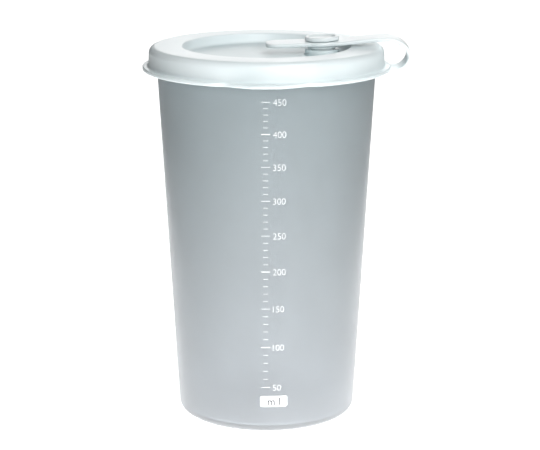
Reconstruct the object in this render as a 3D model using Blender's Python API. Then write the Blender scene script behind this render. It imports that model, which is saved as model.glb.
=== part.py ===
"""Half-litre graduated beaker with a press-on lid, a spout in the lid and a stopper on a moulded strap.

Metres, +Z up. The origin is the middle of the beaker's flat underside. The strap loops out along +X,
and the lid's lift tab faces -Y.
"""

import math

import bmesh
import bpy
from mathutils import Vector

MM = 0.001
CLEARANCE = 0.3 * MM  # between pieces that touch each other

# Beaker: a tapered cup with a flat floor, a rounded foot and a bead round the rim.
BASE_RADIUS = 32.1 * MM  # outside, where the wall's line meets the table
WALL_LEAN = 0.0564  # outward lean for each unit of height
BEAKER_HEIGHT = 133.9 * MM
WALL = 1.1 * MM
FLOOR = 2.2 * MM
FOOT_FILLET = 3.3 * MM
FLOOR_FILLET = 2.4 * MM
BEAD_REACH = 0.9 * MM  # how far the rim's bead stands out from the wall
BEAD_HEIGHT = 2.5 * MM

# Lid: a skirt outside the rim, a flat ring over it and a sunk floor inside it.
LID_WALL = 1.2 * MM
RIM_CLEARANCE = 0.35 * MM  # round the bead, inside the skirt
SKIRT_HEIGHT = 8.4 * MM  # from the skirt's lower edge to the top of the flat ring
SKIRT_DRAFT = 0.25 * MM  # how much wider the skirt is at its lower edge
SHOULDER_FILLET = 2.5 * MM
FLAT_RING_WIDTH = 11.9 * MM  # from the skirt's outside to the recess
RECESS_DEPTH = 3.4 * MM
RECESS_DRAFT = 1.0 * MM  # how much narrower the recess is at its floor
RECESS_LIP = 0.7 * MM  # rounding where the flat ring turns down into the recess
RECESS_FILLET = 1.5 * MM
SEAL_DEPTH = 4.4 * MM  # the ring inside the beaker's mouth, below the flat ring
SEAL_WALL = 1.0 * MM
SEAL_CLEARANCE = 0.35 * MM

# Flange round the skirt's lower edge, with a lift tab at the front and a shallow dip on each side of it.
FLANGE_REACH = 2.4 * MM
FLANGE_THICKNESS = 1.4 * MM
TAB_REACH = 2.1 * MM
TAB_HALF_WIDTH = 12.0 * MM
DIP_DEPTH = 1.3 * MM
DIP_OFFSET = 14.5 * MM
DIP_HALF_WIDTH = 5.0 * MM

# Spout: a short collar on the lid's floor, with a bore through both.
SPOUT_MARGIN = 3.2 * MM  # from the collar to the foot of the recess's wall
BORE_RADIUS = 4.6 * MM
COLLAR_WALL = 1.5 * MM
COLLAR_HEIGHT = 2.1 * MM

# Strap: leaves the flange, turns half a circle over three bends and runs back to the spout.
STRAP_WIDTH = 12.0 * MM
STRAP_THICKNESS = 1.4 * MM
STRAP_DROP = 0.75 * MM  # how far its middle is below the flange's middle
ROOT_LENGTH = 1.0 * MM  # straight, past the flange's edge
ROOT_FLARE = 2.4 * MM  # widening at the flange
LOOP_BENDS = ((5.7 * MM, 65.0), (4.1 * MM, 63.0), (9.05 * MM, 52.0))  # radius and turn in degrees
HINGE_COUNT = 6
RUN_END_SLOPE = 0.12  # of the run back, where it meets the eye
END_TILT = 2.0  # degrees; the strap's pull cocks its end up towards the loop

# Strap end: a plate with an eye for the stopper and a finger tab beyond it.
EYE_RING_WIDTH = 2.3 * MM
TAB_LENGTH = 20.2 * MM  # from the stopper's middle to the tip
TAB_CORNER = 4.5 * MM

# Stopper: a plug below the eye and a dished button above it.
PLUG_CLEARANCE = 0.4 * MM  # round the plug, in the bore
PLUG_TAPER = 0.25 * MM
PLUG_LENGTH = 2.9 * MM  # below the collar's top
SEAT_GAP = 0.45 * MM  # between the collar's top and the stopper's flange, at the middle
SEAT_LAP = 0.7 * MM  # how far the flange reaches past the bore
SEAT_THICKNESS = 0.75 * MM
NECK_RADIUS = 4.5 * MM
BUTTON_RADIUS = 6.15 * MM
BUTTON_HEIGHT = 1.35 * MM
BUTTON_FILLET = 0.4 * MM
DISH_RIM = 1.3 * MM
DISH_DEPTH = 0.5 * MM

FILLET_STEP = 0.8 * MM  # a fillet gets about one step for each such length of its radius, and at least 2

# Heights and radii that follow from the sizes above.
RIM_RADIUS = BASE_RADIUS + WALL_LEAN * BEAKER_HEIGHT
BEAD_RADIUS = RIM_RADIUS + BEAD_REACH
SKIRT_INNER = BEAD_RADIUS + RIM_CLEARANCE
SKIRT_OUTER = SKIRT_INNER + LID_WALL
LID_UNDERSIDE = BEAKER_HEIGHT + CLEARANCE
LID_TOP = LID_UNDERSIDE + LID_WALL
SKIRT_BOTTOM = LID_TOP - SKIRT_HEIGHT
FLANGE_RADIUS = SKIRT_OUTER + FLANGE_REACH
FLANGE_TOP = SKIRT_BOTTOM + FLANGE_THICKNESS
RECESS_RADIUS = SKIRT_OUTER - FLAT_RING_WIDTH
RECESS_FLOOR = LID_TOP - RECESS_DEPTH
COLLAR_RADIUS = BORE_RADIUS + COLLAR_WALL
SPOUT_OFFSET = RECESS_RADIUS - RECESS_DRAFT - SPOUT_MARGIN - COLLAR_RADIUS
COLLAR_TOP = RECESS_FLOOR + COLLAR_HEIGHT
SEAT_BOTTOM = COLLAR_TOP + SEAT_GAP
SEAT_RADIUS = BORE_RADIUS + SEAT_LAP
EYE_RADIUS = NECK_RADIUS + CLEARANCE
PLATE_MIDDLE = SEAT_BOTTOM + SEAT_THICKNESS + CLEARANCE + STRAP_THICKNESS / 2
BUTTON_BOTTOM = PLATE_MIDDLE + STRAP_THICKNESS / 2 + CLEARANCE
STRAP_LEVEL = SKIRT_BOTTOM + FLANGE_THICKNESS / 2 - STRAP_DROP
TILT_SLOPE = math.tan(math.radians(END_TILT))
HALF_TURN = 180.0
LINK_TURN = HALF_TURN / HINGE_COUNT


def clear_scene():
    for thing in list(bpy.data.objects):
        bpy.data.objects.remove(thing, do_unlink=True)


def make_material(name, colour, roughness, alpha=1.0):
    material = bpy.data.materials.new(name)
    material.use_nodes = True
    shader = material.node_tree.nodes["Principled BSDF"]
    shader.inputs["Base Color"].default_value = (*colour, 1.0)
    shader.inputs["Roughness"].default_value = roughness
    shader.inputs["Metallic"].default_value = 0.0
    shader.inputs["Alpha"].default_value = alpha
    return material


def add_object(name, bm, location, material, sharp_angle=30.0):
    """Makes an object at location from a bmesh whose points are in world places."""
    bmesh.ops.translate(bm, verts=bm.verts, vec=-Vector(location))
    bmesh.ops.recalc_face_normals(bm, faces=bm.faces)
    mesh = bpy.data.meshes.new(name)
    bm.to_mesh(mesh)
    bm.free()
    mesh.shade_smooth()
    mesh.set_sharp_from_angle(angle=math.radians(sharp_angle))
    thing = bpy.data.objects.new(name, mesh)
    thing.location = location
    bpy.context.collection.objects.link(thing)
    if material:
        thing.data.materials.append(material)
    return thing


def hide_tool(thing):
    thing.hide_render = True
    thing.display_type = "WIRE"


def combine(thing, tool, operation):
    """Unites tool with thing, or cuts it from thing, and keeps the tool as a hidden guide."""
    hide_tool(tool)
    modifier = thing.modifiers.new(tool.name, "BOOLEAN")
    modifier.operation = operation
    modifier.solver = "EXACT"
    modifier.object = tool


def attach(thing, parent):
    """Parents thing and keeps its place, for parents that aren't turned."""
    place = thing.location.copy()
    top = parent
    while top:
        place -= top.location
        top = top.parent
    thing.parent = parent
    thing.location = place


def rounded(corners):
    """Turns corners (x, y, radius) into an outline with an arc wherever the radius isn't 0."""
    outline = []
    for index, (x, y, radius) in enumerate(corners):
        here = Vector((x, y))
        if radius == 0:
            outline.append(here)
            continue
        before = (Vector(corners[index - 1][:2]) - here).normalized()
        after = (Vector(corners[(index + 1) % len(corners)][:2]) - here).normalized()
        half = before.angle(after) / 2
        centre = here + (before + after).normalized() * radius / math.sin(half)
        start = here + before * radius / math.tan(half) - centre
        sweep = start.angle_signed(here + after * radius / math.tan(half) - centre)
        steps = max(2, round(radius / FILLET_STEP))
        for step in range(steps + 1):
            turn = -sweep * step / steps
            x_part = start.x * math.cos(turn) - start.y * math.sin(turn)
            y_part = start.x * math.sin(turn) + start.y * math.cos(turn)
            outline.append(centre + Vector((x_part, y_part)))
    return outline


def even_angles(count):
    return [2 * math.pi * step / count for step in range(count)]


def turned(outline, angles, centre=(0.0, 0.0), reshape=None):
    """Turns a closed outline of (radius, height) round a vertical axis; reshape may move a point's radius."""
    bm = bmesh.new()
    rings = []
    for radius, height in outline:
        if radius < 1e-9:
            rings.append([bm.verts.new((centre[0], centre[1], height))])
            continue
        ring = []
        for angle in angles:
            reach = reshape(radius, angle) if reshape else radius
            place = (centre[0] + reach * math.cos(angle), centre[1] + reach * math.sin(angle), height)
            ring.append(bm.verts.new(place))
        rings.append(ring)
    for index, ring in enumerate(rings):
        following = rings[(index + 1) % len(rings)]
        if len(ring) == 1 and len(following) == 1:
            continue
        for step in range(len(angles)):
            after = (step + 1) % len(angles)
            corners = [ring[step % len(ring)], following[step % len(following)]]
            corners.append(following[after % len(following)])
            corners.append(ring[after % len(ring)])
            bm.faces.new(list(dict.fromkeys(corners)))
    return bm


def band(stations):
    """A flat band along stations (x, z, slope angle, half width), STRAP_THICKNESS thick."""
    bm = bmesh.new()
    sections = []
    for x, z, heading, half_width in stations:
        out_x = math.sin(heading) * STRAP_THICKNESS / 2
        out_z = -math.cos(heading) * STRAP_THICKNESS / 2
        corners = ((1, -1), (1, 1), (-1, 1), (-1, -1))
        section = [bm.verts.new((x + a * out_x, b * half_width, z + a * out_z)) for a, b in corners]
        sections.append(section)
    for before, after in zip(sections, sections[1:]):
        for corner in range(4):
            beside = (corner + 1) % 4
            bm.faces.new((before[corner], before[beside], after[beside], after[corner]))
    bm.faces.new(sections[0])
    bm.faces.new(sections[-1])
    return bm


def loop_point(turn):
    """Place on the strap's middle line, and the bend's radius, where the strap has turned by so many degrees."""
    x = FLANGE_RADIUS + ROOT_LENGTH
    z = STRAP_LEVEL
    start = 0.0
    for radius, bend in LOOP_BENDS:
        end = min(turn, start + bend)
        x += radius * (math.sin(math.radians(end)) - math.sin(math.radians(start)))
        z += radius * (math.cos(math.radians(start)) - math.cos(math.radians(end)))
        if turn <= start + bend:
            break
        start += bend
    return x, z, radius


def loop_stations(first, last, gap_first=0.0, gap_last=0.0, steps=4):
    """Stations of the loop between two turns, each end drawn back along the strap by its gap."""
    just_past = first + 0.01  # degrees, for the radius of the bend that starts here
    begin = first + math.degrees(gap_first / loop_point(just_past)[2])
    finish = last - math.degrees(gap_last / loop_point(last)[2])
    stations = []
    for step in range(steps + 1):
        turn = begin + (finish - begin) * step / steps
        x, z, _ = loop_point(turn)
        stations.append((x, z, math.radians(turn), STRAP_WIDTH / 2))
    return stations


def hinge_turn(number):
    return LINK_TURN * (number - 0.5)


def hinge_place(number):
    """Hinge 1 is at the strap's root; each axis lies on the outer side of the bend."""
    turn = hinge_turn(number)
    x, z, _ = loop_point(turn)
    out = STRAP_THICKNESS / 2
    return (x + out * math.sin(math.radians(turn)), 0.0, z - out * math.cos(math.radians(turn)))


def plate_level(x):
    return PLATE_MIDDLE + (x - SPOUT_OFFSET) * TILT_SLOPE


def beaker_outline():
    inner_foot = BASE_RADIUS - WALL + WALL_LEAN * FLOOR
    bead_bottom = BEAKER_HEIGHT - BEAD_HEIGHT
    wall_at_bead = RIM_RADIUS - WALL_LEAN * BEAD_HEIGHT
    return rounded(
        [
            (0.0, 0.0, 0.0),
            (BASE_RADIUS, 0.0, FOOT_FILLET),
            (wall_at_bead, bead_bottom, 0.0),
            (BEAD_RADIUS, bead_bottom + BEAD_REACH * 0.6, 0.4 * MM),
            (BEAD_RADIUS, BEAKER_HEIGHT, 0.7 * MM),
            (RIM_RADIUS - WALL, BEAKER_HEIGHT, 0.5 * MM),
            (inner_foot, FLOOR, FLOOR_FILLET),
            (0.0, FLOOR, 0.0),
        ]
    )


def make_beaker(material):
    bm = turned(beaker_outline(), even_angles(60))
    return add_object("beaker", bm, (0.0, 0.0, 0.0), material)


def lid_outline():
    skirt_bottom_inner = SKIRT_INNER + SKIRT_DRAFT
    flange = FLANGE_RADIUS
    seal_outer = RIM_RADIUS - WALL - SEAL_CLEARANCE
    seal_bottom = LID_UNDERSIDE - SEAL_DEPTH
    seal_foot = seal_outer - WALL_LEAN * SEAL_DEPTH
    recess_floor_radius = RECESS_RADIUS - RECESS_DRAFT
    underside_radius = RECESS_RADIUS + LID_WALL
    floor_bottom = RECESS_FLOOR - LID_WALL
    return rounded(
        [
            (0.0, RECESS_FLOOR, 0.0),
            (recess_floor_radius, RECESS_FLOOR, RECESS_FILLET),
            (RECESS_RADIUS, LID_TOP, RECESS_LIP),
            (SKIRT_OUTER, LID_TOP, SHOULDER_FILLET),
            (SKIRT_OUTER + SKIRT_DRAFT, FLANGE_TOP, 0.0),
            (flange, FLANGE_TOP, 0.0),
            (flange, SKIRT_BOTTOM, 0.0),
            (skirt_bottom_inner, SKIRT_BOTTOM, 0.0),
            (SKIRT_INNER, LID_UNDERSIDE, 1.0 * MM),
            (seal_outer, LID_UNDERSIDE, 0.0),
            (seal_foot, seal_bottom, 0.3 * MM),
            (seal_foot - SEAL_WALL, seal_bottom, 0.3 * MM),
            (seal_outer - SEAL_WALL, LID_UNDERSIDE, 0.0),
            (underside_radius, LID_UNDERSIDE, 0.8 * MM),
            (underside_radius - RECESS_DRAFT, floor_bottom, 0.8 * MM),
            (0.0, floor_bottom, 0.0),
        ]
    )


def swell(distance, half_width):
    """A smooth hump: 1 in the middle, 0 from half_width outwards."""
    if abs(distance) >= half_width:
        return 0.0
    return 0.5 + 0.5 * math.cos(math.pi * distance / half_width)


def flange_reach(radius, angle):
    """Moves only the flange's edge: out to the lift tab at -Y and in at a dip on each side of it."""
    if radius < FLANGE_RADIUS - 0.1 * MM:
        return radius
    if math.sin(angle) > 0:
        return radius
    across = FLANGE_RADIUS * math.sin(angle + math.pi / 2)
    tab = TAB_REACH * min(1.0, 1.5 * swell(across, TAB_HALF_WIDTH))
    dip = DIP_DEPTH * swell(abs(across) - DIP_OFFSET, DIP_HALF_WIDTH)
    return radius + tab - dip


def lid_angles():
    """Even steps, with three times as many round the lift tab."""
    count = 60
    angles = []
    for angle in even_angles(count):
        angles.append(angle)
        if abs(angle - 1.5 * math.pi) < math.radians(27):
            angles.append(angle + 2 * math.pi / count / 3)
            angles.append(angle + 4 * math.pi / count / 3)
    return angles


def strap_root():
    """The strap's first stretch, from inside the skirt to the first hinge, wider at the flange."""
    start = SKIRT_OUTER - LID_WALL / 3
    flare_end = FLANGE_RADIUS + ROOT_LENGTH
    stations = []
    steps = 6
    for step in range(steps):
        x = start + (flare_end - start) * step / steps
        flare = ROOT_FLARE * (1 - step / steps) ** 2
        stations.append((x, STRAP_LEVEL, 0.0, STRAP_WIDTH / 2 + flare))
    stations += loop_stations(0.0, hinge_turn(1), gap_last=CLEARANCE / 2, steps=2)
    return band(stations)


def make_lid(material):
    place = (0.0, 0.0, LID_UNDERSIDE)
    lid = add_object("lid", turned(lid_outline(), lid_angles(), reshape=flange_reach), place, material)

    root = add_object("strap_root_guide", strap_root(), place, None)
    combine(lid, root, "UNION")

    spout = (SPOUT_OFFSET, 0.0)
    sunk = RECESS_FLOOR - LID_WALL / 2
    collar_corners = [
        (0.0, sunk, 0.0),
        (COLLAR_RADIUS, sunk, 0.0),
        (COLLAR_RADIUS, COLLAR_TOP, 0.4 * MM),
        (0.0, COLLAR_TOP, 0.0),
    ]
    collar = add_object("collar_guide", turned(rounded(collar_corners), even_angles(28), spout), place, None)
    combine(lid, collar, "UNION")

    above = COLLAR_TOP + 2 * MM
    below = RECESS_FLOOR - LID_WALL - 2 * MM
    bore_corners = [(0.0, above), (BORE_RADIUS, above), (BORE_RADIUS, below), (0.0, below)]
    bore = add_object("bore_cutter", turned(bore_corners, even_angles(28), spout), place, None)
    combine(lid, bore, "DIFFERENCE")
    return lid


def make_strap_link(number, parent, material):
    """Link 1 is the nearest to the lid. It turns about hinge 1, at its lower end."""
    gap = CLEARANCE / 2
    stations = loop_stations(hinge_turn(number), hinge_turn(number + 1), gap, gap)
    link = add_object(f"strap_link_{number}", band(stations), hinge_place(number), material)
    attach(link, parent)
    return link


def plate_half_width(x):
    """Half the strap end's width at x: the strap, the ring round the eye, and the tab's rounded tip."""
    ring = EYE_RADIUS + EYE_RING_WIDTH
    half = STRAP_WIDTH / 2
    off = x - SPOUT_OFFSET
    if abs(off) < ring:
        half = max(half, math.sqrt(ring**2 - off**2))
    from_tip = x - (SPOUT_OFFSET - TAB_LENGTH)
    if from_tip < TAB_CORNER:
        half -= TAB_CORNER - math.sqrt(TAB_CORNER**2 - (TAB_CORNER - from_tip) ** 2)
    return half


def strap_end_stations():
    """From the last hinge round the last of the loop, down the run back, through the eye, to the tab's tip."""
    stations = loop_stations(hinge_turn(HINGE_COUNT), HALF_TURN, gap_first=CLEARANCE / 2, steps=2)
    top_x, top_z, _ = loop_point(HALF_TURN)
    ring = EYE_RADIUS + EYE_RING_WIDTH
    foot_x = SPOUT_OFFSET + ring
    rise = top_z - plate_level(foot_x)
    length = top_x - foot_x
    steps = 10
    for step in range(1, steps):
        t = step / steps
        x = top_x - length * t
        z = top_z - rise * (3 * t**2 - 2 * t**3) + RUN_END_SLOPE * length * (t**2 - t**3)
        slope = (6 * rise * (t - t**2) - RUN_END_SLOPE * length * (2 * t - 3 * t**2)) / length
        stations.append((x, z, math.pi + math.atan(slope), STRAP_WIDTH / 2))
    tip = SPOUT_OFFSET - TAB_LENGTH
    corner = tip + TAB_CORNER
    steps = 12
    ring_places = [SPOUT_OFFSET + ring * math.cos(math.pi * step / steps) for step in range(steps + 1)]
    steps = 5
    turns = [math.pi / 2 * step / steps for step in range(steps + 1)]
    corner_places = [corner - TAB_CORNER * math.sin(turn) for turn in turns]
    for x in ring_places + corner_places:
        heading = math.pi + math.radians(END_TILT)
        stations.append((x, plate_level(x), heading, plate_half_width(x)))
    return stations


def make_strap_end(parent, material):
    bm = band(strap_end_stations())
    plate = add_object("strap_end", bm, hinge_place(HINGE_COUNT), material)
    reach = 3 * STRAP_THICKNESS
    corners = [(0.0, reach), (EYE_RADIUS, reach), (EYE_RADIUS, -reach), (0.0, -reach)]
    cutter = add_object("eye_cutter", turned(corners, even_angles(28)), (0.0, 0.0, 0.0), None)
    cutter.location = (SPOUT_OFFSET, 0.0, PLATE_MIDDLE)
    cutter.rotation_euler = (0.0, -math.radians(END_TILT), 0.0)
    combine(plate, cutter, "DIFFERENCE")
    attach(plate, parent)
    return plate


def stopper_outline():
    """Heights are from the middle of the strap end's plate."""
    plug_top = SEAT_BOTTOM - PLATE_MIDDLE
    plug_radius = BORE_RADIUS - PLUG_CLEARANCE
    plug_end = COLLAR_TOP - PLUG_LENGTH - PLATE_MIDDLE
    seat_top = plug_top + SEAT_THICKNESS
    button_bottom = BUTTON_BOTTOM - PLATE_MIDDLE
    button_top = button_bottom + BUTTON_HEIGHT
    dish = BUTTON_RADIUS - DISH_RIM
    return rounded(
        [
            (0.0, button_top - DISH_DEPTH, 0.0),
            (dish - DISH_DEPTH, button_top - DISH_DEPTH, 0.2 * MM),
            (dish, button_top, 0.1 * MM),
            (BUTTON_RADIUS, button_top, BUTTON_FILLET),
            (BUTTON_RADIUS, button_bottom, 0.2 * MM),
            (NECK_RADIUS, button_bottom, 0.0),
            (NECK_RADIUS, seat_top, 0.0),
            (SEAT_RADIUS, seat_top, 0.0),
            (SEAT_RADIUS, plug_top, 0.2 * MM),
            (plug_radius, plug_top, 0.0),
            (plug_radius - PLUG_TAPER, plug_end, 0.5 * MM),
            (0.0, plug_end, 0.0),
        ]
    )


def make_stopper(parent, material):
    bm = turned(stopper_outline(), even_angles(28))
    stopper = add_object("stopper", bm, (0.0, 0.0, 0.0), material)
    stopper.location = (SPOUT_OFFSET, 0.0, PLATE_MIDDLE)
    attach(stopper, parent)
    stopper.rotation_euler = (0.0, -math.radians(END_TILT), 0.0)
    return stopper


def build():
    clear_scene()
    frosted = make_material("frosted_polypropylene", (0.62, 0.68, 0.75), 0.35, 0.55)
    white = make_material("white_polyethylene", (0.86, 0.92, 0.92), 0.4)
    make_beaker(frosted)
    lid = make_lid(white)
    holder = lid
    for number in range(1, HINGE_COUNT):
        holder = make_strap_link(number, holder, white)
    plate = make_strap_end(holder, white)
    make_stopper(plate, white)


build()
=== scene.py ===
# Half-litre graduated beaker: a frosted cup, a white lid with a sunk floor, and a stopper on a looped strap.
# Metres, +Z up. The strap loops out along +X, and the lift tab and the printed scale face -Y.
import math

import bmesh
import bpy
from mathutils import Matrix, Vector


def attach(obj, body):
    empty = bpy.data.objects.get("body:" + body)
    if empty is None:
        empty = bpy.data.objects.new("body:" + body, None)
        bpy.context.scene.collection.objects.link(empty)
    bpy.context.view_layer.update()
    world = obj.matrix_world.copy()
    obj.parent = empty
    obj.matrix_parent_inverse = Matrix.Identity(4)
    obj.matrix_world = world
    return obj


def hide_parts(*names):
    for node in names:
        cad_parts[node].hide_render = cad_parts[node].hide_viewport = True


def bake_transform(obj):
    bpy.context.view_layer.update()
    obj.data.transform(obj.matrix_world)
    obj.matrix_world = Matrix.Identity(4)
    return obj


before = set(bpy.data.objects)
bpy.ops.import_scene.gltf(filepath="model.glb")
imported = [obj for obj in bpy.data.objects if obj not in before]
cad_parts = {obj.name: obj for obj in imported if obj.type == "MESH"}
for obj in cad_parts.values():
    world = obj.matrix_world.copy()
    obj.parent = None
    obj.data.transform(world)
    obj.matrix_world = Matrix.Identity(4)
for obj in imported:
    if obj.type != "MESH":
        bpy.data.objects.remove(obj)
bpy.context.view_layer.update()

mm = 0.001
clearance = 0.3 * mm  # between pieces that touch
sharpAngle = 38  # degrees; corners sharper than this stay crisp


# Shapes that every piece shares.

def rounded(corners, arcStep=11):
    # corners are (x, y, radius); where the radius isn't 0, an arc in steps of up to arcStep degrees
    outline = []
    for index, (x, y, radius) in enumerate(corners):
        here = Vector((x, y))
        if radius == 0:
            outline.append(here)
            continue
        before = (Vector(corners[index - 1][:2]) - here).normalized()
        after = (Vector(corners[(index + 1) % len(corners)][:2]) - here).normalized()
        half = before.angle(after) / 2
        centre = here + (before + after).normalized() * radius / math.sin(half)
        start = here + before * radius / math.tan(half) - centre
        sweep = -start.angle_signed(here + after * radius / math.tan(half) - centre)
        steps = max(3, math.ceil(abs(math.degrees(sweep)) / arcStep))
        for step in range(steps + 1):
            turn = sweep * step / steps
            xPart = start.x * math.cos(turn) - start.y * math.sin(turn)
            yPart = start.x * math.sin(turn) + start.y * math.cos(turn)
            outline.append(centre + Vector((xPart, yPart)))
    return outline


def smooth(mesh):
    mesh.shade_smooth()
    mesh.set_sharp_from_angle(angle=math.radians(sharpAngle))


def makeObject(name, bm):
    bmesh.ops.recalc_face_normals(bm, faces=bm.faces)
    mesh = bpy.data.meshes.new(name)
    bm.to_mesh(mesh)
    bm.free()
    smooth(mesh)
    piece = bpy.data.objects.new(name, mesh)
    bpy.context.scene.collection.objects.link(piece)
    return piece


def turned(name, outline, count, reshape=None):
    # turns a closed outline of (radius, height) about the Z axis
    bm = bmesh.new()
    rings = []
    for radius, height in outline:
        if radius == 0:
            rings.append([bm.verts.new((0, 0, height))])
            continue
        ring = []
        for step in range(count):
            angle = 2 * math.pi * step / count
            reach = reshape(radius, angle) if reshape else radius
            ring.append(bm.verts.new((reach * math.cos(angle), reach * math.sin(angle), height)))
        rings.append(ring)
    for index, ring in enumerate(rings):
        following = rings[(index + 1) % len(rings)]
        if len(ring) == 1 and len(following) == 1:
            continue
        for step in range(count):
            after = (step + 1) % count
            corners = [ring[step % len(ring)], following[step % len(following)]]
            corners += [following[after % len(following)], ring[after % len(ring)]]
            bm.faces.new(list(dict.fromkeys(corners)))
    return makeObject(name, bm)


def evaluatedMesh(piece):
    graph = bpy.context.evaluated_depsgraph_get()
    return bpy.data.meshes.new_from_object(piece.evaluated_get(graph))


def combine(piece, tool, operation):
    modifier = piece.modifiers.new(operation.lower(), "BOOLEAN")
    modifier.operation = operation
    modifier.solver = "EXACT"
    modifier.object = tool
    mesh = evaluatedMesh(piece)
    piece.modifiers.clear()
    piece.data = mesh
    bpy.data.objects.remove(tool)


def dress(piece, material, slot, *nodes):
    piece.data.materials.clear()
    piece.data.materials.append(material)
    if nodes:
        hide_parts(*nodes)


# Materials: plastics with moulded grain, and ink.

def startMaterial(name, look):
    material = bpy.data.materials.new(name)
    material.use_nodes = True
    tree = material.node_tree
    shader = tree.nodes["Principled BSDF"]
    for socket, value in look["sockets"].items():
        shader.inputs[socket].default_value = value
    return material, tree, shader


def addNode(tree, kind, **settings):
    node = tree.nodes.new(kind)
    for name, value in settings.items():
        setattr(node, name, value)
    return node


def addNoise(tree, scale, detail=3):
    places = addNode(tree, "ShaderNodeTexCoord")
    noise = addNode(tree, "ShaderNodeTexNoise")
    noise.inputs["Scale"].default_value = scale
    noise.inputs["Detail"].default_value = detail
    tree.links.new(places.outputs["Object"], noise.inputs["Vector"])
    return noise.outputs["Fac"]


def addRamp(tree, factor, stops):
    ramp = addNode(tree, "ShaderNodeValToRGB")
    elements = ramp.color_ramp.elements
    while len(elements) < len(stops):
        elements.new(0.5)
    for element, (place, colour) in zip(elements, stops):
        element.position = place
        element.color = (*colour, 1)
    tree.links.new(factor, ramp.inputs["Fac"])
    return ramp.outputs["Color"]


def addFade(tree, measure, given=(0, 1), wanted=(0, 1), **settings):
    # takes the first range of a value to the second, and holds still beyond its ends
    fade = addNode(tree, "ShaderNodeMapRange", **settings)
    for socket, value in zip(("From Min", "From Max", "To Min", "To Max"), (*given, *wanted)):
        fade.inputs[socket].default_value = value
    tree.links.new(measure, fade.inputs["Value"])
    return fade.outputs["Result"]


def multiply(tree, first, second):
    mix = addNode(tree, "ShaderNodeMix", data_type="RGBA", blend_type="MULTIPLY")
    mix.inputs["Factor"].default_value = 1
    tree.links.new(first, mix.inputs["A"])
    tree.links.new(second, mix.inputs["B"])
    return mix.outputs["Result"]


def addGrain(tree, shader, look):
    # roughness that drifts over the surface, and the fine pebble of the mould
    drift = addFade(tree, addNoise(tree, look["driftScale"]), wanted=look["roughness"])
    tree.links.new(drift, shader.inputs["Roughness"])
    bump = addNode(tree, "ShaderNodeBump")
    bump.inputs["Strength"].default_value = look["bumpStrength"]
    bump.inputs["Distance"].default_value = look["bumpDepth"]
    tree.links.new(addNoise(tree, look["grainScale"], 2), bump.inputs["Height"])
    tree.links.new(bump.outputs["Normal"], shader.inputs["Normal"])


frostedLook = {
    "sockets": {"Transmission Weight": 0.66, "IOR": 1.36, "Specular IOR Level": 0.2},
    "absorbColour": (0.25, 0.33, 0.38),
    "absorbDensity": 200,  # for each metre of plastic, so that long paths through the wall are darker
    "roughness": (0.34, 0.42),
    "driftScale": 60,
    "grainScale": 1500,
    "bumpStrength": 0.25,
    "bumpDepth": 0.02 * mm,
    # colour from the foot to the rim, by the share of the height: the cup's own blue-grey with painted
    # shade, darker towards the rim where the lid shades the inside and lighter at the foot as if lit from
    # the floor
    "paintedShadeByHeight": (
        (0.0, (0.74, 0.765, 0.79)),
        (0.12, (0.65, 0.68, 0.705)),
        (0.45, (0.64, 0.68, 0.70)),
        (1.0, (0.60, 0.67, 0.69)),
    ),
    "cloudScale": 45,
    # how far the cloudiness darkens the plastic, by the noise's value
    "cloud": ((0.3, (0.95, 0.95, 0.95)), (0.7, (1, 1, 1))),
}


def makeFrosted():
    look = frostedLook
    material, tree, shader = startMaterial("frostedPolypropylene", look)
    places = addNode(tree, "ShaderNodeTexCoord")
    split = addNode(tree, "ShaderNodeSeparateXYZ")
    tree.links.new(places.outputs["Object"], split.inputs["Vector"])
    height = addFade(tree, split.outputs["Z"], (0, beaker["height"]))
    # painted shade: the base colour darkens from the foot towards the rim
    base = addRamp(tree, height, look["paintedShadeByHeight"])
    cloud = addRamp(tree, addNoise(tree, look["cloudScale"]), look["cloud"])
    tree.links.new(multiply(tree, base, cloud), shader.inputs["Base Color"])
    absorb = addNode(tree, "ShaderNodeVolumeAbsorption")
    absorb.inputs["Color"].default_value = (*look["absorbColour"], 1)
    absorb.inputs["Density"].default_value = look["absorbDensity"]
    tree.links.new(absorb.outputs["Volume"], tree.nodes["Material Output"].inputs["Volume"])
    addGrain(tree, shader, look)
    return material


whiteLook = {
    "sockets": {
        "IOR": 1.5,
        "Subsurface Weight": 0.12,
        "Subsurface Radius": (1.2 * mm, 1.3 * mm, 1.3 * mm),
        "Subsurface Scale": 1.0,
    },
    "colours": ((0.35, (0.79, 0.875, 0.89)), (0.65, (0.83, 0.905, 0.92))),
    "colourScale": 55,
    "roughness": (0.27, 0.36),
    "driftScale": 80,
    "grainScale": 1300,
    "bumpStrength": 0.18,
    "bumpDepth": 0.02 * mm,
}
# the lid's sunk floor gets painted shade, a greyer white that fades out over the given distance
lidLook = dict(whiteLook, recessPaintedShade=(0.76, 0.80, 0.805), recessShadeFade=1.5 * mm)
strapLook = dict(whiteLook, colours=((0.35, (0.83, 0.90, 0.91)), (0.65, (0.86, 0.925, 0.935))))

inkLook = {
    "sockets": {"Specular IOR Level": 0.3},
    "colours": ((0.3, (0.93, 0.94, 0.95)), (0.7, (0.97, 0.98, 0.99))),
    "colourScale": 500,
    "roughness": (0.5, 0.65),
    "driftScale": 300,
    "grainScale": 4000,
    "bumpStrength": 0.2,
    "bumpDepth": 0.01 * mm,
}
greyInkLook = dict(inkLook, colours=((0.3, (0.10, 0.11, 0.12)), (0.7, (0.14, 0.15, 0.16))))


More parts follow.
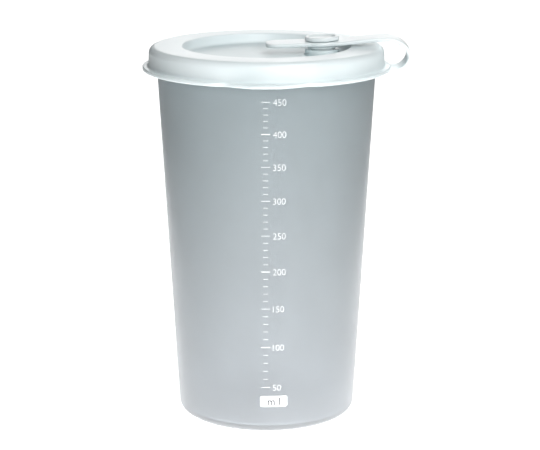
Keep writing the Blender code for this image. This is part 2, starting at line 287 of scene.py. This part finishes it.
def addThinFloor(tree, look):
    # painted shade: the sunk floor and the foot of the spout collar are coloured a greyer white, as if in
    # the recess's shade
    places = addNode(tree, "ShaderNodeTexCoord")
    flat = addNode(tree, "ShaderNodeVectorMath", operation="MULTIPLY")
    flat.inputs[1].default_value = (1, 1, 0)
    tree.links.new(places.outputs["Object"], flat.inputs[0])
    reach = addNode(tree, "ShaderNodeVectorMath", operation="LENGTH")
    tree.links.new(flat.outputs["Vector"], reach.inputs[0])
    split = addNode(tree, "ShaderNodeSeparateXYZ")
    tree.links.new(places.outputs["Object"], split.inputs["Vector"])
    edge = lid["recessRadius"] - lid["recessDraft"]
    beyond = addFade(tree, reach.outputs["Value"], (edge - look["recessShadeFade"], edge))
    top = lid["recessFloor"] + look["recessShadeFade"]
    above = addFade(tree, split.outputs["Z"], (top - look["recessShadeFade"], top))
    off = addNode(tree, "ShaderNodeMath", operation="MAXIMUM")  # 0 on the floor, 1 off it
    tree.links.new(beyond, off.inputs[0])
    tree.links.new(above, off.inputs[1])
    return addRamp(tree, off.outputs["Value"], ((0, look["recessPaintedShade"]), (1, (1, 1, 1))))


def makePlain(name, look):
    material, tree, shader = startMaterial(name, look)
    colour = addRamp(tree, addNoise(tree, look["colourScale"]), look["colours"])
    # painted shade on the lid's sunk floor
    if "recessPaintedShade" in look:
        colour = multiply(tree, colour, addThinFloor(tree, look))
    tree.links.new(colour, shader.inputs["Base Color"])
    addGrain(tree, shader, look)
    return material


# The beaker: a tapered cup with a rounded foot and a bead round the rim.

beaker = {
    "baseRadius": 32.1 * mm,
    "wallLean": 0.0564,  # outward lean for each unit of height
    "height": 133.9 * mm,
    "wall": 1.1 * mm,
    "floor": 2.2 * mm,
    "footFillet": 3.3 * mm,
    "floorFillet": 2.4 * mm,
    "beadReach": 0.9 * mm,
    "beadHeight": 2.5 * mm,
    "beadSlope": 0.6,  # rise of the bead's underside for each unit of its reach
    "beadFoot": 0.3 * mm,
    "beadEdge": 0.4 * mm,
    "rimOuterEdge": 0.7 * mm,
    "rimInnerEdge": 0.5 * mm,
    "steps": 240,
}
beaker["rimRadius"] = beaker["baseRadius"] + beaker["wallLean"] * beaker["height"]


def makeBeaker(material):
    b = beaker
    beadRadius = b["rimRadius"] + b["beadReach"]
    beadBottom = b["height"] - b["beadHeight"]
    wallAtBead = b["rimRadius"] - b["wallLean"] * b["beadHeight"]
    innerFoot = b["baseRadius"] - b["wall"] + b["wallLean"] * b["floor"]
    outline = rounded([
        (0, 0, 0),
        (b["baseRadius"], 0, b["footFillet"]),
        (wallAtBead, beadBottom, b["beadFoot"]),
        (beadRadius, beadBottom + b["beadReach"] * b["beadSlope"], b["beadEdge"]),
        (beadRadius, b["height"], b["rimOuterEdge"]),
        (b["rimRadius"] - b["wall"], b["height"], b["rimInnerEdge"]),
        (innerFoot, b["floor"], b["floorFillet"]),
        (0, b["floor"], 0),
    ])
    cup = turned("beakerShell", outline, b["steps"])
    dress(cup, material, "beaker", "beaker")
    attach(cup, "beaker")
    print("beaker shell made")


# The printed scale: each mark stands where the cup holds its volume.

scale = {
    "first": 50,  # ml, the lowest mark
    "last": 450,
    "step": 10,
    "numberEvery": 50,
    "boldAt": (100, 200, 400),
    "printShift": -0.7 * mm,  # the print sits this much below the true levels
    "tickWidth": 1.7 * mm,
    "majorWidth": 3.1 * mm,
    "tickHeight": 0.19 * mm,
    "boldHeight": 0.34 * mm,
    "tickCentre": -0.3 * mm,
    "numberLeft": 2.25 * mm,
    "numberDrop": 0.15 * mm,
    "digitHeight": 2.25 * mm,
    "squeeze": 0.95,  # width of the lettering, as a share of the font's
    "thinning": 0.012,  # of the digits' strokes, as a share of their height
    "ink": 0.06 * mm,  # thickness; half of it lies in the wall
    "boxWidth": 9.8 * mm,
    "boxHeight": 4.2 * mm,
    "boxCorner": 0.8 * mm,
    "boxCentre": 2.6 * mm,
    "boxDrop": 5.4 * mm,  # from the lowest mark to the middle of the box
    "unitHeight": 2.8 * mm,
    "unitThinning": -0.012,  # below 0, so these strokes are thicker than the font's
    "letterLift": 0.02 * mm,  # the grey letters stand this much off the box
    "slice": 0.5 * mm,  # a piece of print is cut this often so that it follows the wall
    "weld": 1e-7,  # points of the lettering closer than this become one
}


def levelOf(millilitres):
    b = beaker
    innerAtZero = b["baseRadius"] - b["wall"]
    floorRadius = innerAtZero + b["wallLean"] * b["floor"]
    volume = millilitres * 1e-6  # in cubic metres
    radius = (floorRadius**3 + 3 * b["wallLean"] * volume / math.pi) ** (1 / 3)
    return (radius - innerAtZero) / b["wallLean"] + scale["printShift"]


def addSlab(bm, centre, width, height):
    size = Matrix.Diagonal((width, height, scale["ink"], 1))
    bmesh.ops.create_cube(bm, size=1, matrix=Matrix.Translation((*centre, 0)) @ size)


def textSlab(text, height, thinning):
    # a flat solid of lettering, with its left end at 0 and its middle height at 0
    curve = bpy.data.curves.new("lettering", "FONT")
    curve.body = text
    curve.size = height
    curve.extrude = scale["ink"] / 2
    curve.offset = -thinning * height
    holder = bpy.data.objects.new("lettering", curve)
    bpy.context.scene.collection.objects.link(holder)
    mesh = evaluatedMesh(holder)
    bpy.data.objects.remove(holder)
    bm = bmesh.new()
    bm.from_mesh(mesh)
    xs = [v.co.x for v in bm.verts]
    ys = [v.co.y for v in bm.verts]
    grow = height / (max(ys) - min(ys))
    for v in bm.verts:
        v.co.x = (v.co.x - min(xs)) * grow * scale["squeeze"]
        v.co.y = (v.co.y - (min(ys) + max(ys)) / 2) * grow
    bmesh.ops.remove_doubles(bm, verts=bm.verts, dist=scale["weld"])
    return bm


def addMoved(bm, other, offset):
    mesh = bpy.data.meshes.new("moved")
    bmesh.ops.translate(other, verts=other.verts, vec=offset)
    other.to_mesh(mesh)
    other.free()
    bm.from_mesh(mesh)
    bpy.data.meshes.remove(mesh)


def wrapOnWall(bm):
    # x runs round the wall, y is the height and z stands out from the wall
    left = min(v.co.x for v in bm.verts)
    right = max(v.co.x for v in bm.verts)
    count = int((right - left) / scale["slice"])
    for cut in range(1, count + 1):
        everything = bm.verts[:] + bm.edges[:] + bm.faces[:]
        place = (left + cut * scale["slice"], 0, 0)
        bmesh.ops.bisect_plane(bm, geom=everything, plane_co=place, plane_no=(1, 0, 0))
    for v in bm.verts:
        wallRadius = beaker["baseRadius"] + beaker["wallLean"] * v.co.y
        angle = v.co.x / wallRadius
        reach = wallRadius + v.co.z
        v.co = (reach * math.sin(angle), -reach * math.cos(angle), v.co.y)


def finishPrint(name, bm, material):
    wrapOnWall(bm)
    printed = makeObject(name, bm)
    dress(printed, material, "beaker")
    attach(printed, "beaker")


def makeScale(material):
    s = scale
    ticks = bmesh.new()
    numbers = bmesh.new()
    for mark in range(s["first"], s["last"] + 1, s["step"]):
        level = levelOf(mark)
        major = mark % s["numberEvery"] == 0
        thick = s["boldHeight"] if mark in s["boldAt"] else s["tickHeight"]
        addSlab(ticks, (s["tickCentre"], level), s["majorWidth"] if major else s["tickWidth"], thick)
        if major:
            digits = textSlab(str(mark), s["digitHeight"], s["thinning"])
            addMoved(numbers, digits, (s["numberLeft"], level - s["numberDrop"], 0))
    finishPrint("scaleTicks", ticks, material)
    finishPrint("scaleNumbers", numbers, material)
    print("scale printed from", s["first"], "to", s["last"], "ml")


def makeUnit(material, letterMaterial):
    s = scale
    halfWidth = s["boxWidth"] / 2
    halfHeight = s["boxHeight"] / 2
    corners = [(-1, -1), (1, -1), (1, 1), (-1, 1)]
    outline = rounded([(a * halfWidth, b * halfHeight, s["boxCorner"]) for a, b in corners])
    box = bmesh.new()
    low = [box.verts.new((p.x, p.y, -s["ink"] / 2)) for p in outline]
    high = [box.verts.new((p.x, p.y, s["ink"] / 2)) for p in outline]
    box.faces.new(low)
    box.faces.new(high)
    for index in range(len(outline)):
        before = index - 1
        box.faces.new((low[before], low[index], high[index], high[before]))
    middle = Vector((s["boxCentre"], levelOf(s["first"]) - s["boxDrop"], 0))
    bmesh.ops.translate(box, verts=box.verts, vec=middle)
    finishPrint("scaleUnit", box, material)
    letters = textSlab("m l", s["unitHeight"], s["unitThinning"])
    halfText = max(v.co.x for v in letters.verts) / 2
    bmesh.ops.translate(letters, verts=letters.verts, vec=middle + Vector((-halfText, 0, s["letterLift"])))
    finishPrint("scaleUnitLetters", letters, letterMaterial)
    print("unit box printed")


# The lid: a skirt outside the rim, a flat ring over it, a sunk floor and a spout collar.

lid = {
    "wall": 1.2 * mm,
    "rimClearance": 0.35 * mm,
    "skirtHeight": 8.4 * mm,
    "skirtDraft": 0.25 * mm,
    "shoulderFillet": 2.5 * mm,
    "flatRingWidth": 11.9 * mm,
    "recessDepth": 3.4 * mm,
    "recessDraft": 1.0 * mm,
    "recessLip": 0.7 * mm,
    "recessFillet": 1.5 * mm,
    "sealDepth": 4.4 * mm,
    "sealWall": 1.0 * mm,
    "sealClearance": 0.35 * mm,
    "flangeReach": 2.4 * mm,
    "flangeThickness": 1.4 * mm,
    "flangeEdge": 0.45 * mm,
    "smallEdge": 0.2 * mm,
    "sealEdge": 0.3 * mm,
    "skirtInnerFillet": 1.0 * mm,
    "underFillet": 0.8 * mm,
    "skirtFoot": 0.8 * mm,  # rounding between the skirt and the flange
    "tabReach": 2.1 * mm,
    "tabHalfWidth": 12.0 * mm,
    "tabFullness": 1.5,  # above 1 the tab's edge is flat in the middle
    "dipDepth": 1.3 * mm,
    "dipOffset": 14.5 * mm,
    "dipHalfWidth": 5.0 * mm,
    "steps": 360,
}
lid["skirtInner"] = beaker["rimRadius"] + beaker["beadReach"] + lid["rimClearance"]
lid["skirtOuter"] = lid["skirtInner"] + lid["wall"]
lid["underside"] = beaker["height"] + clearance
lid["top"] = lid["underside"] + lid["wall"]
lid["skirtBottom"] = lid["top"] - lid["skirtHeight"]
lid["flangeTop"] = lid["skirtBottom"] + lid["flangeThickness"]
lid["flangeRadius"] = lid["skirtOuter"] + lid["flangeReach"]
lid["recessRadius"] = lid["skirtOuter"] - lid["flatRingWidth"]
lid["recessFloor"] = lid["top"] - lid["recessDepth"]

spout = {
    "margin": 3.2 * mm,  # from the collar to the foot of the recess's wall
    "boreRadius": 4.6 * mm,
    "collarWall": 1.5 * mm,
    "collarHeight": 2.1 * mm,
    "footFillet": 0.7 * mm,
    "topFillet": 0.4 * mm,
    "leadIn": 0.3 * mm,
    "bury": 0.02 * mm,  # the collar's foot lies this far inside the floor
    "spare": 2 * mm,  # how far the tools reach past what they join or cut
    "steps": 96,
}
spout["collarRadius"] = spout["boreRadius"] + spout["collarWall"]
spout["offset"] = lid["recessRadius"] - lid["recessDraft"] - spout["margin"] - spout["collarRadius"]
spout["top"] = lid["recessFloor"] + spout["collarHeight"]


def swell(distance, halfWidth):
    if abs(distance) >= halfWidth:
        return 0
    return 0.5 + 0.5 * math.cos(math.pi * distance / halfWidth)


def flangeReach(radius, angle):
    # the flange's edge goes out to the lift tab at -Y and in at a dip on each side of it
    share = (radius - lid["skirtOuter"] - lid["skirtFoot"]) / (lid["flangeReach"] - lid["skirtFoot"])
    share = min(1, max(0, share))
    if share == 0 or math.sin(angle) > 0:
        return radius
    across = lid["flangeRadius"] * math.sin(angle + math.pi / 2)
    tab = lid["tabReach"] * min(1, lid["tabFullness"] * swell(across, lid["tabHalfWidth"]))
    dip = lid["dipDepth"] * swell(abs(across) - lid["dipOffset"], lid["dipHalfWidth"])
    return radius + share * (tab - dip)


def makeLid(material):
    d = lid
    sealOuter = beaker["rimRadius"] - beaker["wall"] - d["sealClearance"]
    sealBottom = d["underside"] - d["sealDepth"]
    sealFoot = sealOuter - beaker["wallLean"] * d["sealDepth"]
    underRadius = d["recessRadius"] + d["wall"]
    floorBottom = d["recessFloor"] - d["wall"]
    shell = turned("lidShell", rounded([
        (0, d["recessFloor"], 0),
        (d["recessRadius"] - d["recessDraft"], d["recessFloor"], d["recessFillet"]),
        (d["recessRadius"], d["top"], d["recessLip"]),
        (d["skirtOuter"], d["top"], d["shoulderFillet"]),
        (d["skirtOuter"] + d["skirtDraft"], d["flangeTop"], d["skirtFoot"]),
        (d["flangeRadius"], d["flangeTop"], d["flangeEdge"]),
        (d["flangeRadius"], d["skirtBottom"], d["flangeEdge"]),
        (d["skirtInner"] + d["skirtDraft"], d["skirtBottom"], d["smallEdge"]),
        (d["skirtInner"], d["underside"], d["skirtInnerFillet"]),
        (sealOuter, d["underside"], d["smallEdge"]),
        (sealFoot, sealBottom, d["sealEdge"]),
        (sealFoot - d["sealWall"], sealBottom, d["sealEdge"]),
        (sealOuter - d["sealWall"], d["underside"], d["smallEdge"]),
        (underRadius, d["underside"], d["underFillet"]),
        (underRadius - d["recessDraft"], floorBottom, d["underFillet"]),
        (0, floorBottom, 0),
    ]), d["steps"], flangeReach)

    c = spout
    middle = d["recessFloor"] - d["wall"] / 2
    collar = turned("collar", rounded([
        (0, middle, 0),
        (c["collarRadius"] + c["spare"], middle, 0),
        (c["collarRadius"] + c["spare"], d["recessFloor"] - c["bury"], 0),
        (c["collarRadius"], d["recessFloor"] - c["bury"], c["footFillet"]),
        (c["collarRadius"], c["top"], c["topFillet"]),
        (0, c["top"], 0),
    ]), c["steps"])
    collar.location.x = c["offset"]
    combine(shell, collar, "UNION")
    bore = turned("bore", [
        Vector((0, c["top"] + c["spare"])),
        Vector((c["boreRadius"] + c["leadIn"] + c["spare"], c["top"] + c["spare"])),
        Vector((c["boreRadius"], c["top"] - c["leadIn"])),
        Vector((c["boreRadius"], floorBottom - c["spare"])),
        Vector((0, floorBottom - c["spare"])),
    ], c["steps"])
    bore.location.x = c["offset"]
    combine(shell, bore, "DIFFERENCE")
    smooth(shell.data)
    dress(shell, material, "lid", "lid")
    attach(shell, "lid")
    print("lid made,", len(shell.data.polygons), "faces")


# The strap: one soft moulding from the flange, round half a turn, and back to the spout.

strap = {
    "width": 12.0 * mm,
    "thickness": 1.4 * mm,
    "drop": 0.75 * mm,
    "rootLength": 1.0 * mm,
    "rootFlare": 2.4 * mm,
    "bends": ((5.7 * mm, 65), (4.1 * mm, 63), (9.05 * mm, 52)),  # radius and turn in degrees
    "hinges": 6,
    "runEndSlope": 0.12,
    "endTilt": 2.0,  # degrees
    "edge": 0.5 * mm,
    "edgeShare": 0.8,  # an edge is never more than this share of half the thickness
    "edgeArcStep": 18,  # degrees
    "eyeRingWidth": 2.3 * mm,
    "tabLength": 20.2 * mm,
    "tabCorner": 4.5 * mm,
    "tipEdge": 0.45 * mm,
    "tipThinning": 0.8,
    "rootSteps": 12,
    "stepsPerLink": 14,
    "runSteps": 24,
    "ringSteps": 48,
    "tipSteps": 16,
}

stopper = {
    "plugClearance": 0.4 * mm,
    "plugTaper": 0.25 * mm,
    "plugLength": 2.9 * mm,
    "seatGap": 0.45 * mm,
    "seatLap": 0.7 * mm,
    "seatThickness": 0.75 * mm,
    "neckRadius": 4.5 * mm,
    "buttonRadius": 6.15 * mm,
    "buttonHeight": 1.35 * mm,
    "buttonFillet": 0.4 * mm,
    "dishRim": 1.3 * mm,
    "dishDepth": 0.5 * mm,
    "dishFillet": 0.4 * mm,
    "buttonFoot": 0.3 * mm,
    "seatTopEdge": 0.15 * mm,
    "plugEdge": 0.5 * mm,
    "softEdge": 0.2 * mm,
    "tightEdge": 0.1 * mm,
    "steps": 128,
}
strap["level"] = lid["skirtBottom"] + lid["flangeThickness"] / 2 - strap["drop"]
stopper["seatBottom"] = spout["top"] + stopper["seatGap"]
plateMiddle = stopper["seatBottom"] + stopper["seatThickness"] + clearance + strap["thickness"] / 2
tilt = math.radians(strap["endTilt"])
eyeRadius = stopper["neckRadius"] + clearance
ringRadius = eyeRadius + strap["eyeRingWidth"]


def loopPoint(turn):
    # place on the strap's middle line where it has turned by so many degrees
    x = lid["flangeRadius"] + strap["rootLength"]
    z = strap["level"]
    start = 0
    for radius, bend in strap["bends"]:
        end = min(turn, start + bend)
        x += radius * (math.sin(math.radians(end)) - math.sin(math.radians(start)))
        z += radius * (math.cos(math.radians(start)) - math.cos(math.radians(end)))
        if turn <= start + bend:
            break
        start += bend
    return x, z


def loopStations(first, last, steps):
    stations = []
    for step in range(steps + 1):
        turn = first + (last - first) * step / steps
        x, z = loopPoint(turn)
        stations.append((x, z, math.radians(turn), strap["width"] / 2, strap["thickness"] / 2))
    return stations


def band(name, stations):
    # a solid band with rounded edges; a station is (x, z, heading, half width, half thickness)
    bm = bmesh.new()
    sections = []
    for x, z, heading, halfWidth, halfThick in stations:
        edge = min(strap["edge"], strap["edgeShare"] * halfThick)
        corners = ((1, -1), (1, 1), (-1, 1), (-1, -1))
        outline = rounded([(a * halfThick, b * halfWidth, edge) for a, b in corners], strap["edgeArcStep"])
        outward = Vector((math.sin(heading), 0, -math.cos(heading)))
        middle = Vector((x, 0, z))
        sections.append([bm.verts.new(middle + p.x * outward + Vector((0, p.y, 0))) for p in outline])
    for before, after in zip(sections, sections[1:]):
        for corner in range(len(before)):
            beside = (corner + 1) % len(before)
            bm.faces.new((before[corner], before[beside], after[beside], after[corner]))
    bm.faces.new(sections[0])
    bm.faces.new(sections[-1])
    return makeObject(name, bm)


def plateLevel(x):
    return plateMiddle + (x - spout["offset"]) * math.tan(tilt)


def plateHalfWidth(x):
    half = strap["width"] / 2
    off = x - spout["offset"]
    if abs(off) < ringRadius:
        half = max(half, math.sqrt(ringRadius**2 - off**2))
    fromTip = off + strap["tabLength"]
    if fromTip < strap["tabCorner"]:
        inside = strap["tabCorner"] - fromTip
        half -= strap["tabCorner"] - math.sqrt(strap["tabCorner"]**2 - inside**2)
    return half


def makeLoop(material):
    # each piece follows one hinge's share of the half turn, and meets the next in the middle of a link
    linkTurn = 180 / strap["hinges"]
    for index in range(strap["hinges"]):
        first = linkTurn * index
        last = linkTurn * (index + 1)
        stations = loopStations(first, last, strap["stepsPerLink"])
        if index == 0:
            stations = rootStations() + stations
        piece = band(f"strapBend{index + 1}", stations)
        if index < strap["hinges"] - 1:
            dress(piece, material, "strap", f"strap_link_{index + 1}")
        else:
            dress(piece, material, "strap")
        startX, startZ = loopPoint(first)
        endX, endZ = loopPoint(last)
        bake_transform(piece)
    print("strap loop made of", strap["hinges"], "bends")


def rootStations():
    # straight, from inside the skirt to the loop, wider at the flange
    start = lid["skirtOuter"] - lid["wall"] / 3
    end = lid["flangeRadius"] + strap["rootLength"]
    stations = []
    for step in range(strap["rootSteps"]):
        t = step / strap["rootSteps"]
        half = strap["width"] / 2 + strap["rootFlare"] * (1 - t)**2
        stations.append((start + (end - start) * t, strap["level"], 0, half, strap["thickness"] / 2))
    return stations


def endStations():
    # the run back, then the ring round the eye, then the finger tab
    topX, topZ = loopPoint(180)
    footX = spout["offset"] + ringRadius
    length = topX - footX
    rise = topZ - plateLevel(footX)
    thick = strap["thickness"] / 2
    stations = []
    swing = strap["runEndSlope"] * length
    for step in range(strap["runSteps"]):
        t = step / strap["runSteps"]
        slope = (6 * rise * (t - t**2) - swing * (2 * t - 3 * t**2)) / length
        x = topX - length * t
        z = topZ - rise * (3 * t**2 - 2 * t**3) + swing * (t**2 - t**3)
        stations.append((x, z, math.pi + math.atan(slope), strap["width"] / 2, thick))
    tip = spout["offset"] - strap["tabLength"]
    corner = tip + strap["tabCorner"]
    places = []
    for step in range(strap["ringSteps"] + 1):
        places.append(spout["offset"] + ringRadius * math.cos(math.pi * step / strap["ringSteps"]))
    for step in range(strap["tipSteps"] + 1):
        places.append(corner - strap["tabCorner"] * math.sin(math.pi / 2 * step / strap["tipSteps"]))
    for x in places:
        fromTip = min(strap["tipEdge"], x - tip)
        fullness = math.sqrt(max(0, 1 - (1 - fromTip / strap["tipEdge"])**2))
        halfThick = thick - strap["tipEdge"] * (1 - fullness) * strap["tipThinning"]
        stations.append((x, plateLevel(x), math.pi + tilt, plateHalfWidth(x), halfThick))
    return stations


def placeOnPlate(piece):
    piece.location = (spout["offset"], 0, plateMiddle)
    piece.rotation_euler = (0, -tilt, 0)


def makeEnd(material):
    plate = band("strapEndPlate", endStations())
    reach = 3 * strap["thickness"]
    corners = [(0, reach), (eyeRadius, reach), (eyeRadius, -reach), (0, -reach)]
    cutter = turned("eye", [Vector(corner) for corner in corners], stopper["steps"])
    placeOnPlate(cutter)
    combine(plate, cutter, "DIFFERENCE")
    smooth(plate.data)
    dress(plate, material, "strap", "strap_end")
    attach(plate, "closure")
    print("strap end made")


def makeStopper(material):
    # heights are from the middle of the strap end's plate
    p = stopper
    plugTop = p["seatBottom"] - plateMiddle
    plugRadius = spout["boreRadius"] - p["plugClearance"]
    plugEnd = spout["top"] - p["plugLength"] - plateMiddle
    seatTop = plugTop + p["seatThickness"]
    seatRadius = spout["boreRadius"] + p["seatLap"]
    buttonBottom = strap["thickness"] / 2 + clearance
    buttonTop = buttonBottom + p["buttonHeight"]
    dish = p["buttonRadius"] - p["dishRim"]
    button = turned("stopperPlug", rounded([
        (0, buttonTop - p["dishDepth"], 0),
        (dish - p["dishDepth"], buttonTop - p["dishDepth"], p["dishFillet"]),
        (dish, buttonTop, p["softEdge"]),
        (p["buttonRadius"], buttonTop, p["buttonFillet"]),
        (p["buttonRadius"], buttonBottom, p["buttonFoot"]),
        (p["neckRadius"], buttonBottom, p["tightEdge"]),
        (p["neckRadius"], seatTop, p["tightEdge"]),
        (seatRadius, seatTop, p["seatTopEdge"]),
        (seatRadius, plugTop, p["softEdge"]),
        (plugRadius, plugTop, p["tightEdge"]),
        (plugRadius - p["plugTaper"], plugEnd, p["plugEdge"]),
        (0, plugEnd, 0),
    ]), p["steps"])
    placeOnPlate(button)
    dress(button, material, "stopper", "stopper")
    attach(button, "closure")
    print("stopper made")


# Studio: a pale floor, soft lights and the camera.

studio = {
    "cameraPlace": (0, -0.6895, 0.2364),
    "cameraPitch": 76.35,  # degrees from straight down
    "lens": 129.07,
    "sensor": 36,
    "shift": 0.0065,
    "floorSize": 8.0,
    "floorDrop": 0.2 * mm,
    "floorGrey": 0.5,
    "floorRoughness": 0.9,
    "backdrop": 1.05,  # how bright the floor and the far wall look
    "glow": 2.0,  # how bright they are as lights, behind the object
    "surround": 0.14,  # and everywhere else
    # where they glow: the middle, the narrowing along each axis, and where the fading starts and ends;
    # the narrowing comes first, so the middle and the distances are in narrowed units
    "floorGlow": ((0, 0.25, 0), (3.2, 1, 1), 0.40, 0.80),
    "wallGlow": ((0.15, 1, 0.2), (2.5, 1, 1), 0.25, 0.75),  # by direction
    "lights": (
        # name, place, width, height, watts
        ("key", (0.24, -1.10, 0.52), 0.6, 0.75, 7.6),
        ("top", (0.45, -0.45, 1.05), 0.5, 0.5, 4.6),
        ("fill", (-1.10, -0.90, 0.35), 0.5, 1.0, 1.4),
    ),
    "aim": (0, 0, 0.09),
}


def backdropNodes(tree, output, coordinates, spot):
    # bright when looked at, and as a light bright only in one soft spot behind the object
    middle, narrowing, inner, outer = spot
    places = addNode(tree, "ShaderNodeTexCoord")
    narrowed = addNode(tree, "ShaderNodeVectorMath", operation="MULTIPLY")
    narrowed.inputs[1].default_value = narrowing
    tree.links.new(places.outputs[coordinates], narrowed.inputs[0])
    distance = addNode(tree, "ShaderNodeVectorMath", operation="DISTANCE")
    distance.inputs[1].default_value = middle
    tree.links.new(narrowed.outputs["Vector"], distance.inputs[0])
    ends = (studio["glow"], studio["surround"])
    glow = addFade(tree, distance.outputs["Value"], (inner, outer), ends, interpolation_type="SMOOTHSTEP")
    path = addNode(tree, "ShaderNodeLightPath")
    shine = addNode(tree, "ShaderNodeMix")
    shine.inputs["B"].default_value = studio["backdrop"]
    tree.links.new(path.outputs["Is Camera Ray"], shine.inputs["Factor"])
    tree.links.new(glow, shine.inputs["A"])
    tree.links.new(shine.outputs["Result"], output)


def makeStudio():
    s = studio
    scene = bpy.context.scene
    world = bpy.data.worlds.new("studioWorld")
    world.use_nodes = True
    world.node_tree.nodes["Background"].inputs["Color"].default_value = (1, 1, 1, 1)
    brightness = world.node_tree.nodes["Background"].inputs["Strength"]
    backdropNodes(world.node_tree, brightness, "Generated", s["wallGlow"])
    scene.world = world

    bm = bmesh.new()
    bmesh.ops.create_grid(bm, x_segments=1, y_segments=1, size=s["floorSize"] / 2)
    ground = makeObject("studioFloor", bm)
    ground.location.z = -s["floorDrop"]
    material = bpy.data.materials.new("paleFloor")
    material.use_nodes = True
    shader = material.node_tree.nodes["Principled BSDF"]
    grey = s["floorGrey"]
    shader.inputs["Base Color"].default_value = (grey, grey, grey, 1)
    shader.inputs["Roughness"].default_value = s["floorRoughness"]
    shader.inputs["Emission Color"].default_value = (1, 1, 1, 1)
    backdropNodes(material.node_tree, shader.inputs["Emission Strength"], "Object", s["floorGlow"])
    ground.data.materials.append(material)

    for name, place, width, height, watts in s["lights"]:
        light = bpy.data.lights.new(name, "AREA")
        light.shape = "RECTANGLE"
        light.size = width
        light.size_y = height
        light.energy = watts
        lamp = bpy.data.objects.new(name, light)
        lamp.location = place
        lamp.rotation_euler = (Vector(s["aim"]) - Vector(place)).to_track_quat("-Z", "Y").to_euler()
        scene.collection.objects.link(lamp)

    cameraData = bpy.data.cameras.new("camera")
    cameraData.lens = s["lens"]
    cameraData.sensor_width = s["sensor"]
    cameraData.shift_x = s["shift"]
    camera = bpy.data.objects.new("camera", cameraData)
    camera.location = s["cameraPlace"]
    camera.rotation_euler = (math.radians(s["cameraPitch"]), 0, 0)
    scene.collection.objects.link(camera)
    scene.camera = camera
    scene.view_settings.view_transform = "Standard"
    print("studio set")


frosted = makeFrosted()
lidWhite = makePlain("whitePolyethylene", lidLook)
strapWhite = makePlain("strapPolyethylene", strapLook)
ink = makePlain("scaleInk", inkLook)
greyInk = makePlain("scaleGreyInk", greyInkLook)
makeBeaker(frosted)
makeScale(ink)
makeUnit(ink, greyInk)
makeLid(lidWhite)
makeLoop(strapWhite)
makeEnd(strapWhite)
makeStopper(strapWhite)
makeStudio()
